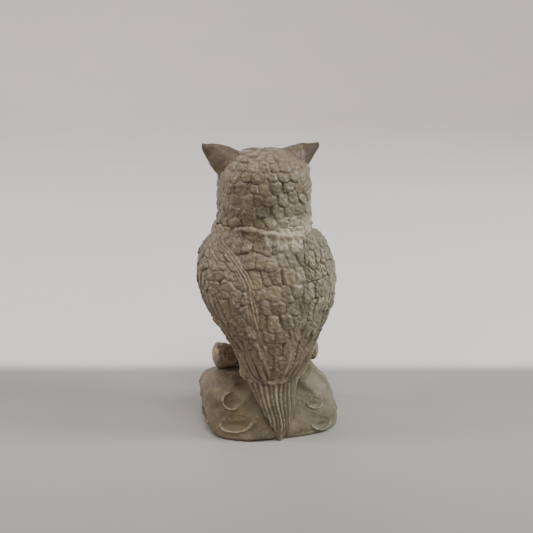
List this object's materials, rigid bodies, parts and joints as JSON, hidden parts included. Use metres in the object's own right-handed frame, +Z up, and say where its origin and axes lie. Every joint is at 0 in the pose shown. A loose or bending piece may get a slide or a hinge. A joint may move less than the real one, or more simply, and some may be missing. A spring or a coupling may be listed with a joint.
{
  "type": "owl figurine",
  "caption": "Horned owl figurine perched on a log over a rock plinth, in a stone-look casting with feathers in relief.",
  "frame": {"origin": "middle of the figurine's own bounding box, on the surface that the plinth stands on", "axes": "+Z up, -Y the way the owl faces, +X the owl's left"},
  "size_m": [0.0741, 0.0563, 0.1511],
  "materials": {
    "feathers": "waxed taupe stone-look resin casting",
    "horn": "smooth brown resin, softly polished",
    "rock": "waxed stone-look resin with polished rims",
    "log": "stone-look resin with bark relief",
    "eye": "polished dark resin"
  },
  "bodies": {
    "root": {"rock_plinth": "rock", "perch_log": "log", "torso": "feathers", "head": "feathers", "left_ear": "horn", "right_ear": "horn", "left_face_disc": "feathers", "right_face_disc": "feathers", "left_eye": "eye", "right_eye": "eye", "beak": "horn", "left_wing": "feathers", "right_wing": "feathers", "left_flight_feathers": "feathers", "right_flight_feathers": "feathers", "tail": "feathers", "left_leg": "feathers", "right_leg": "feathers", "left_foot": "horn", "right_foot": "horn", "left_claws": "horn", "right_claws": "horn"}
  },
  "joints": []
}
